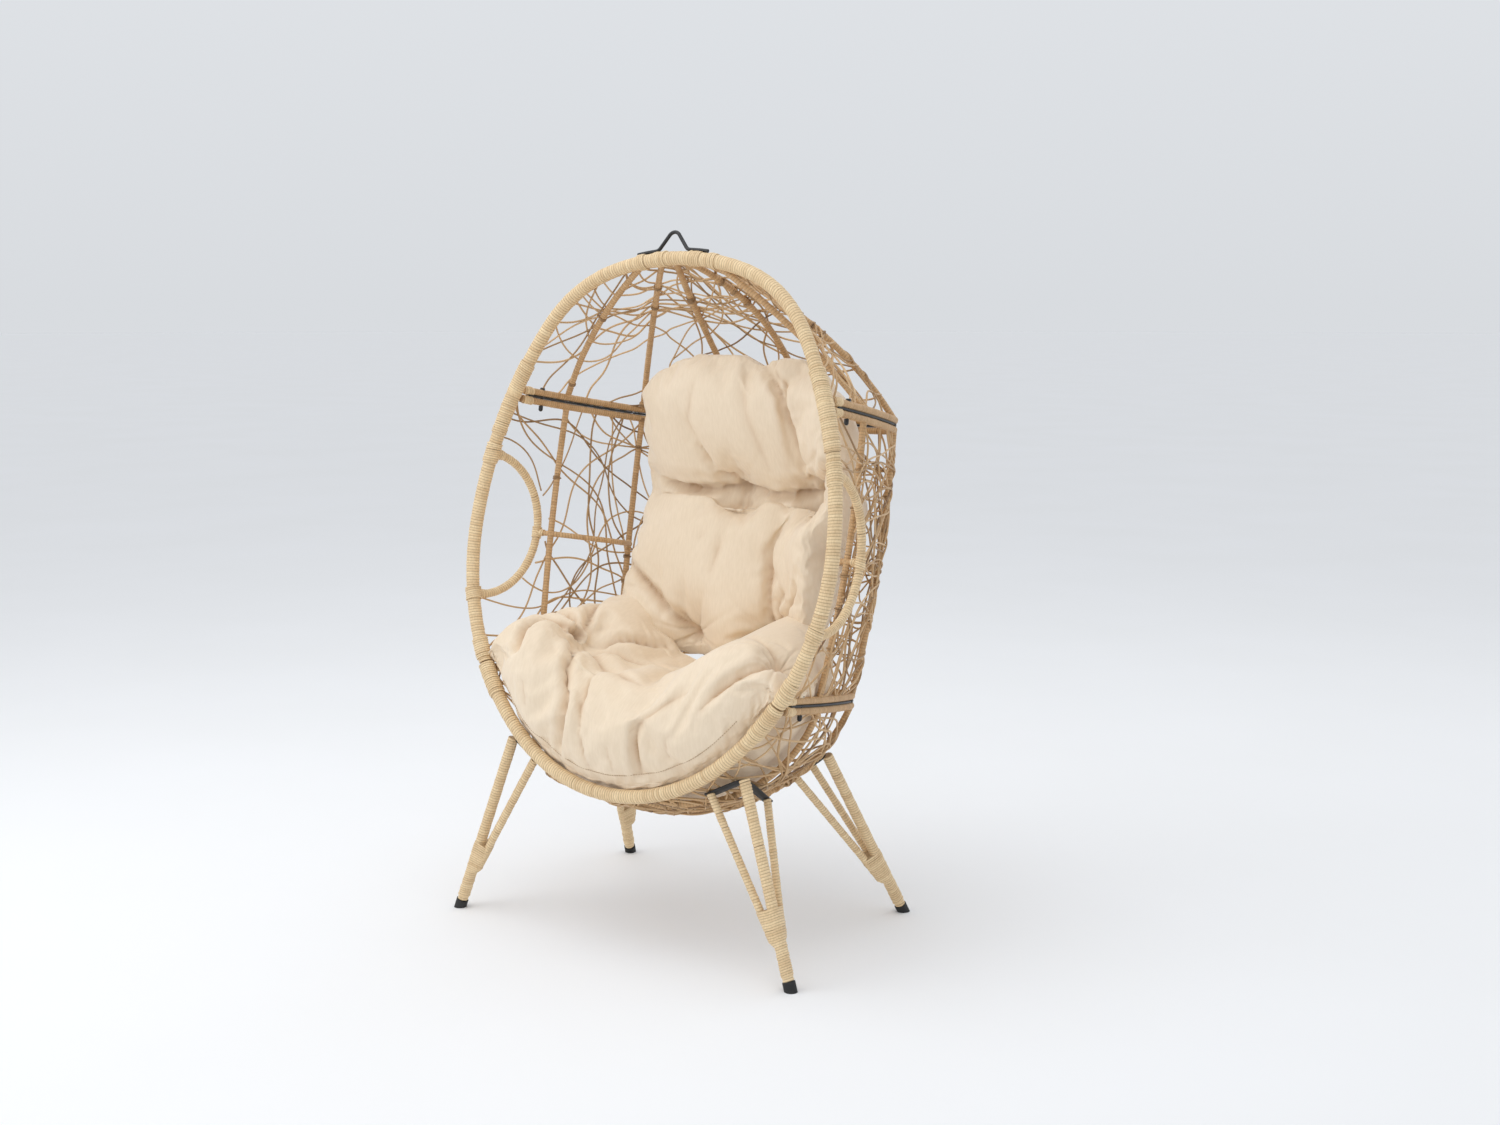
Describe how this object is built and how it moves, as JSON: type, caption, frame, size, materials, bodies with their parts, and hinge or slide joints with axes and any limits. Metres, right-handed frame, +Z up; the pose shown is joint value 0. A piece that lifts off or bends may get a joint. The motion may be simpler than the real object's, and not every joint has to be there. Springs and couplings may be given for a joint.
{
  "type": "standing egg chair",
  "caption": "Egg-shaped lounge chair: wrapped tube frame in bolted sections, open random weave, arm loops, splayed tripod legs, hanging hook and a tufted loose cushion.",
  "frame": {"origin": "on the ground, below the middle of the chair's bounding box", "axes": "+Z up; -Y is the front, where the sitter faces; +X is to the right when looking along +Y into the seat"},
  "size_m": [0.982, 0.6503, 1.5133],
  "materials": {
    "wrapped_tube": "flat strand wound side by side round steel tube",
    "rib_wrap": "smooth tight strand over thin steel tube",
    "woven_strand": "round satin strand in tan and brown",
    "black_steel": "black powder coat",
    "rubber_cap": "matt black rubber",
    "cushion_fabric": "fine plain weave with a soft sheen, tufted"
  },
  "bodies": {
    "frame": {"hood_hoop": "wrapped_tube", "hood_seam_bar": "rib_wrap", "hood_rib_rear_left": "rib_wrap", "hood_rib_corner_left": "rib_wrap", "hood_rib_side_left": "rib_wrap", "hood_rib_rear_right": "rib_wrap", "hood_rib_corner_right": "rib_wrap", "hood_rib_side_right": "rib_wrap", "hood_weave": "woven_strand", "side_hoop_left": "wrapped_tube", "side_hoop_right": "wrapped_tube", "middle_top_bar": "rib_wrap", "middle_bottom_bar": "rib_wrap", "middle_rib_rear_left": "rib_wrap", "middle_rib_corner_left": "rib_wrap", "middle_rib_side_left": "rib_wrap", "middle_rib_rear_right": "rib_wrap", "middle_rib_corner_right": "rib_wrap", "middle_rib_side_right": "rib_wrap", "arm_loop_left": "wrapped_tube", "arm_loop_right": "wrapped_tube", "arm_crossbar_left": "rib_wrap", "arm_crossbar_right": "rib_wrap", "middle_weave": "woven_strand", "bowl_hoop": "wrapped_tube", "bowl_seam_bar": "rib_wrap", "bowl_rib_rear_left": "rib_wrap", "bowl_rib_corner_left": "rib_wrap", "bowl_rib_side_left": "rib_wrap", "bowl_rib_rear_right": "rib_wrap", "bowl_rib_corner_right": "rib_wrap", "bowl_rib_side_right": "rib_wrap", "bowl_weave": "woven_strand", "upper_seam_strip": "black_steel", "lower_seam_strip": "black_steel", "seam_bolts": "black_steel", "seam_nuts": "black_steel", "hanging_hook": "black_steel", "front_left_leg": "wrapped_tube", "front_right_leg": "wrapped_tube", "rear_left_leg": "wrapped_tube", "rear_right_leg": "wrapped_tube", "front_left_braces": "wrapped_tube", "front_right_braces": "wrapped_tube", "rear_left_braces": "wrapped_tube", "rear_right_braces": "wrapped_tube", "front_left_bracket": "black_steel", "front_right_bracket": "black_steel", "rear_left_bracket": "black_steel", "rear_right_bracket": "black_steel", "leg_bindings": "wrapped_tube", "foot_caps": "rubber_cap"},
    "cushion": {"back_cushion": "cushion_fabric", "seat_cushion": "cushion_fabric"}
  },
  "joints": [
    {"name": "cushion_lift", "type": "slide", "parent": "frame", "child": "cushion", "axis": [0, -0.9063, 0.4226], "range_m": [0, 0.6]}
  ]
}
